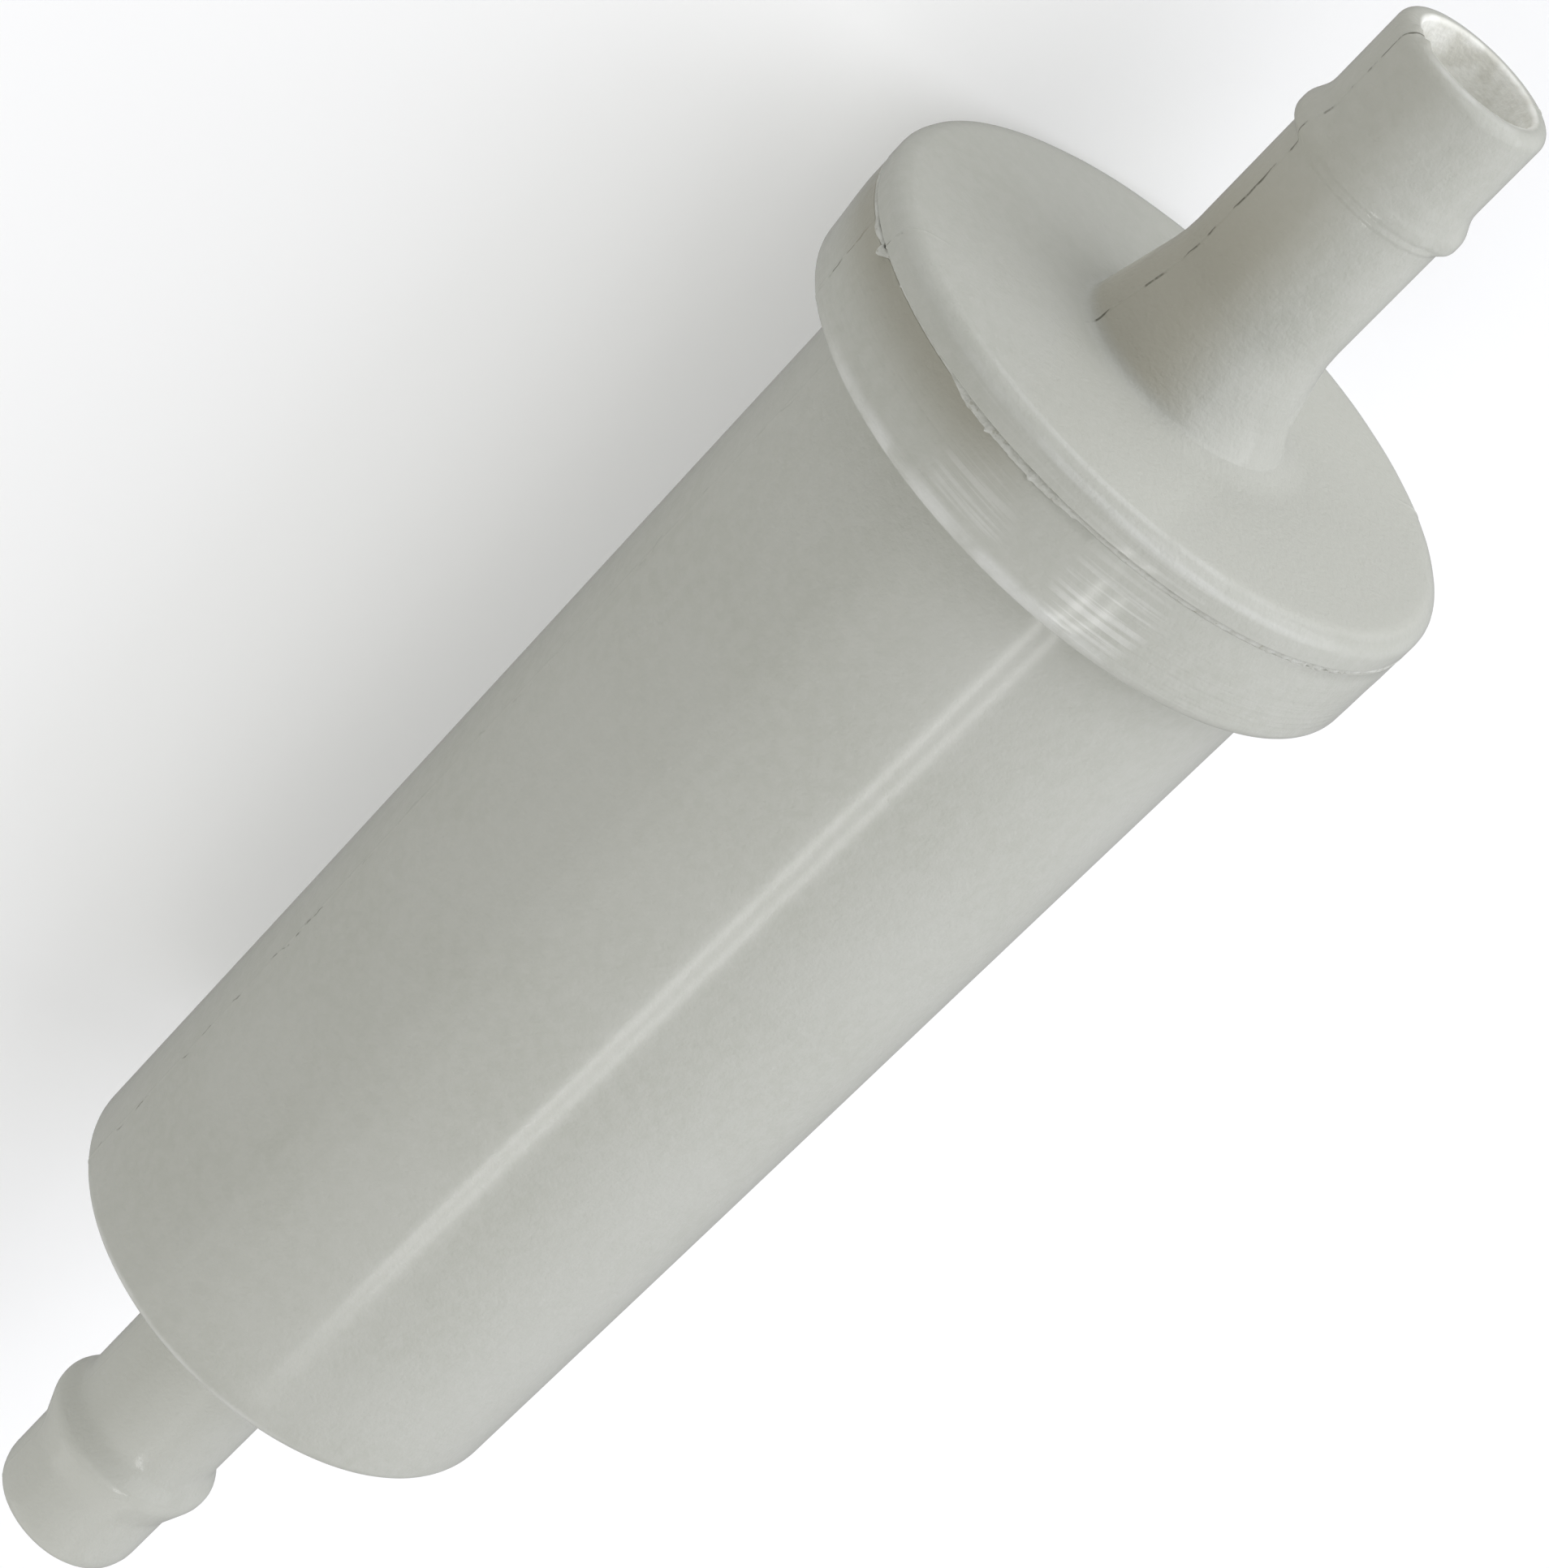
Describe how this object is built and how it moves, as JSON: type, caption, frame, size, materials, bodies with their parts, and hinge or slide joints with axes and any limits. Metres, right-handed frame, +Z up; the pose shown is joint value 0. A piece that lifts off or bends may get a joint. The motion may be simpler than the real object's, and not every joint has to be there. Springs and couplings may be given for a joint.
{
  "type": "fuel filter",
  "caption": "In-line fuel filter: long round plastic cup with a welded flanged cap, a hose stem at each end and a pleated paper element inside.",
  "frame": {"origin": "on the flow axis, midway between the two hose stem tips", "axes": "+X along the flow axis from the inlet stem to the outlet stem, +Z up with the filter lying on its side"},
  "size_m": [0.0998, 0.03, 0.03],
  "materials": {
    "housing_plastic": "opaque grey-white moulded plastic, satin with a fine grain",
    "weld_plastic": "the same plastic, melted and squeezed out, rough and a little whiter",
    "disc_plastic": "natural moulded plastic",
    "core_plastic": "natural moulded plastic",
    "filter_paper": "resin-treated buff filter paper, dull",
    "adhesive": "cured brown adhesive, slightly glossy"
  },
  "bodies": {
    "root": {"cup_housing": "housing_plastic", "cap_housing": "housing_plastic", "weld_bead": "weld_plastic", "open_end_disc": "disc_plastic", "closed_end_disc": "disc_plastic", "core_tube": "core_plastic", "pleated_paper": "filter_paper", "outlet_end_adhesive": "adhesive", "inlet_end_adhesive": "adhesive"}
  },
  "joints": []
}
